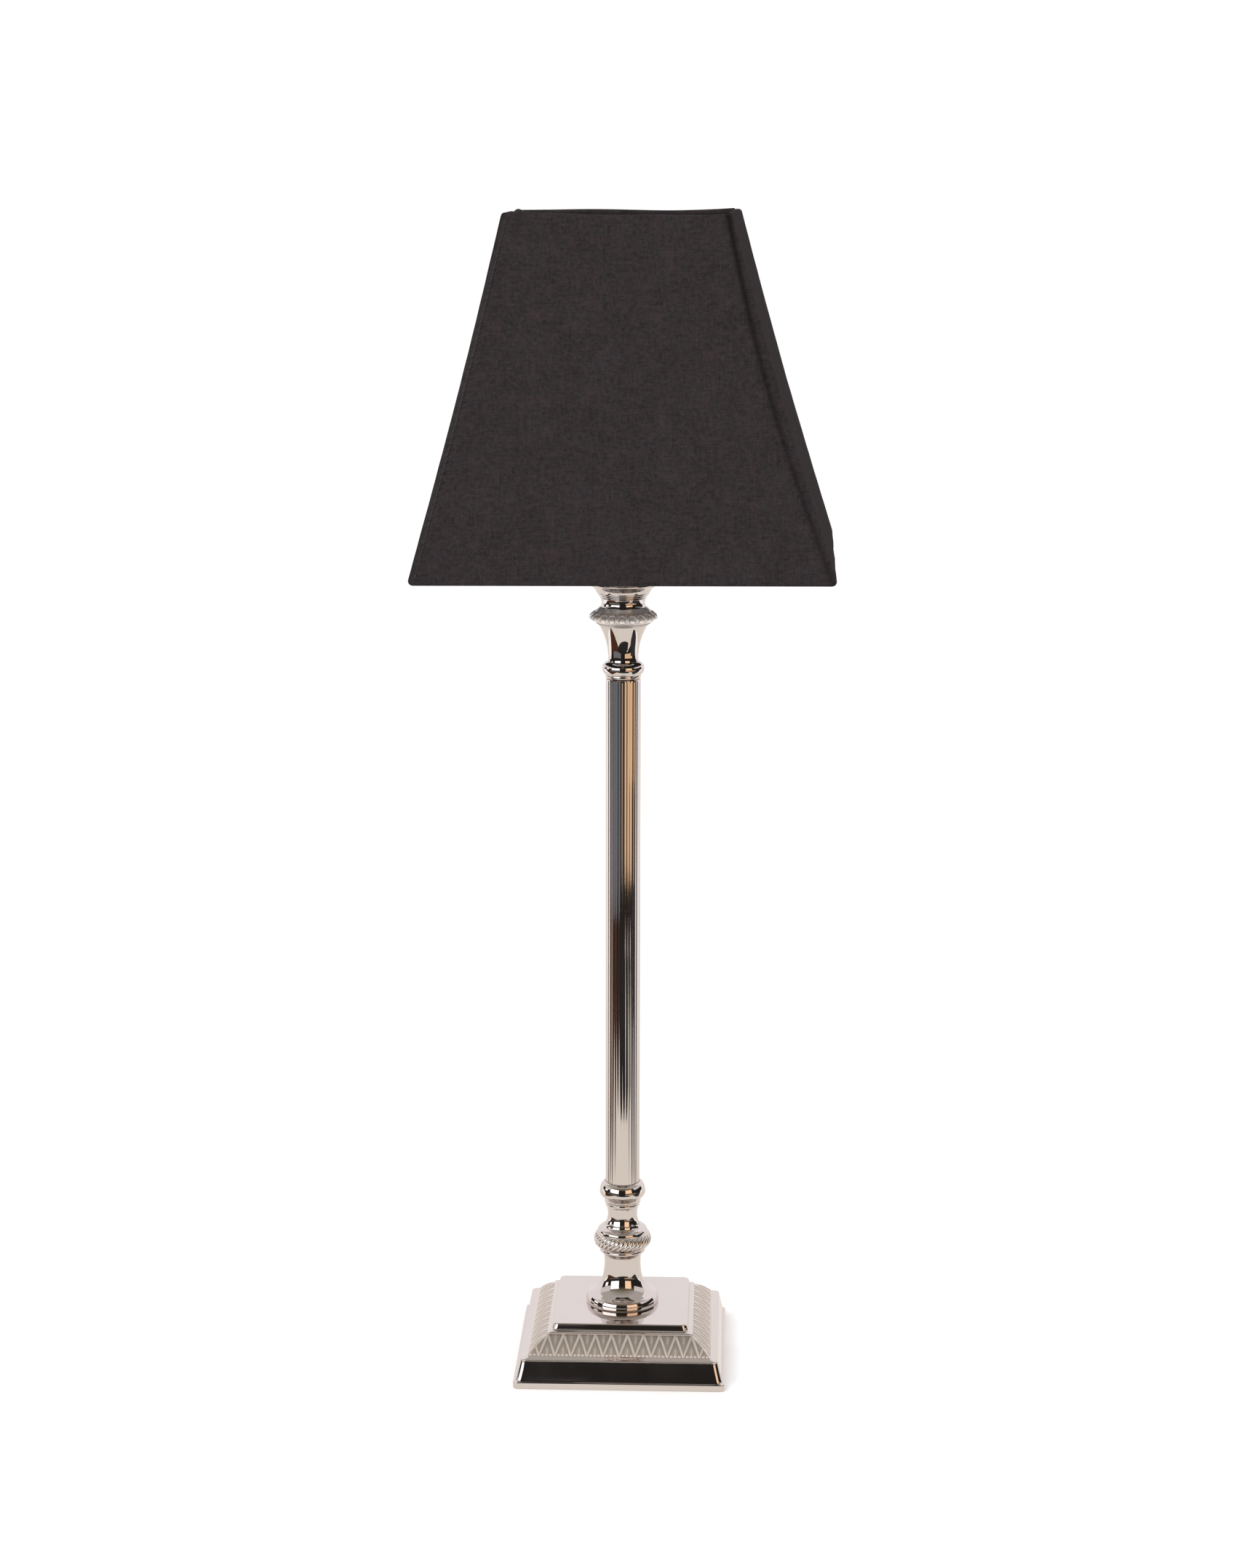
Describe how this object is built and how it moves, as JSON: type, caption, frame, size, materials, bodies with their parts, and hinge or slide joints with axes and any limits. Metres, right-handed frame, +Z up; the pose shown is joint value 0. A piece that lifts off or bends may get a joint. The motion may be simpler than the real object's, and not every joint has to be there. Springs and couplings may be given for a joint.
{
  "type": "table lamp",
  "caption": "Candlestick-style table lamp: stepped square metal base, turned and reeded stem, small screw lampholder and a square tapered fabric shade on a tilting fitting.",
  "frame": {"origin": "on the table, under the middle of the square base", "axes": "+Z up along the stem; +X and +Y along the sides of the base; the cable leaves towards +Y, at the rear"},
  "size_m": [0.2, 0.2, 0.5844],
  "materials": {
    "nickel": "polished nickel plate, slightly warm",
    "steel": "bright zinc-plated steel",
    "brass": "plain brass",
    "iron": "rough casting",
    "felt": "dense black felt",
    "rubber": "satin black",
    "porcelain": "glazed white",
    "black_glass": "glossy black",
    "solder": "dull tin",
    "opal_glass": "opal, soft sheen",
    "wire_coat": "black powder coat",
    "shade_fabric": "charcoal woven cotton-linen, matt",
    "shade_lining": "thin black lining cloth"
  },
  "bodies": {
    "stand": {"felt_pad": "felt", "base_bottom_plate": "steel", "bottom_plate_screw_1": "steel", "bottom_plate_screw_2": "steel", "bottom_plate_screw_3": "steel", "bottom_plate_screw_4": "steel", "base_weight": "iron", "base_casting": "nickel", "cable_grommet": "rubber", "tie_rod": "steel", "bottom_nut": "steel", "bottom_lock_washer": "steel", "bottom_plain_washer": "steel", "lower_tube_bush": "brass", "upper_tube_bush": "brass", "foot_vase": "nickel", "rope_knop": "nickel", "neck_spool": "nickel", "lower_collar": "nickel", "column_tube": "nickel", "upper_collar": "nickel", "urn": "nickel", "leaf_ring": "nickel", "drip_pan": "nickel", "top_washer": "steel", "top_nut": "steel", "lampholder_cap": "nickel", "lampholder_skirt": "nickel", "lampholder_core": "porcelain", "screw_shell": "brass", "centre_contact": "brass", "terminal_live": "brass", "terminal_neutral": "brass"},
    "ring_washer": {"shade_ring_washer": "steel"},
    "ring_nut": {"shade_ring_nut": "nickel"},
    "bulb_tip": {"bulb_contact": "solder"},
    "bulb": {"bulb_insulator": "black_glass", "bulb_cap": "brass", "bulb_glass": "opal_glass"},
    "shade_fitting": {"gimbal_ring": "nickel", "gimbal_pin_rear": "steel", "gimbal_pin_front": "steel"},
    "shade": {"shade_arm_rear": "nickel", "shade_arm_front": "nickel", "shade_bottom_wire": "wire_coat", "shade_top_wire": "wire_coat", "shade_corner_wire_1": "wire_coat", "shade_corner_wire_2": "wire_coat", "shade_corner_wire_3": "wire_coat", "shade_corner_wire_4": "wire_coat", "shade_panel_right": "shade_fabric", "shade_panel_rear": "shade_fabric", "shade_panel_left": "shade_fabric", "shade_panel_front": "shade_fabric", "shade_lining": "shade_lining"}
  },
  "joints": [
    {"name": "shade_turn", "type": "hinge", "parent": "stand", "child": "shade_fitting", "pos_m": [0, 0, 0.4333], "axis": [0, 0, 1], "continuous": true},
    {"name": "shade_tilt", "type": "hinge", "parent": "shade_fitting", "child": "shade", "pos_m": [0, 0, 0.4333], "axis": [0, 1, 0], "range_deg": [-10, 10]},
    {"name": "ring_travel", "type": "slide", "parent": "stand", "child": "ring_washer", "axis": [0, 0, 1], "range_m": [0, 0.008]},
    {"name": "ring_turn", "type": "hinge", "parent": "ring_washer", "child": "ring_nut", "pos_m": [0, 0, 0.4407], "axis": [0, 0, 1], "range_deg": [0, 1440]},
    {"name": "bulb_travel", "type": "slide", "parent": "stand", "child": "bulb_tip", "axis": [0, 0, 1], "range_m": [0, 0.01412]},
    {"name": "bulb_turn", "type": "hinge", "parent": "bulb_tip", "child": "bulb", "pos_m": [0, 0, 0.44], "axis": [0, 0, 1], "range_deg": [0, 1800]}
  ],
  "couplings": [
    {"joint": "ring_travel", "follows": "ring_turn", "m_per_rad": 0.00031831},
    {"joint": "bulb_travel", "follows": "bulb_turn", "m_per_rad": 0.00044914}
  ]
}
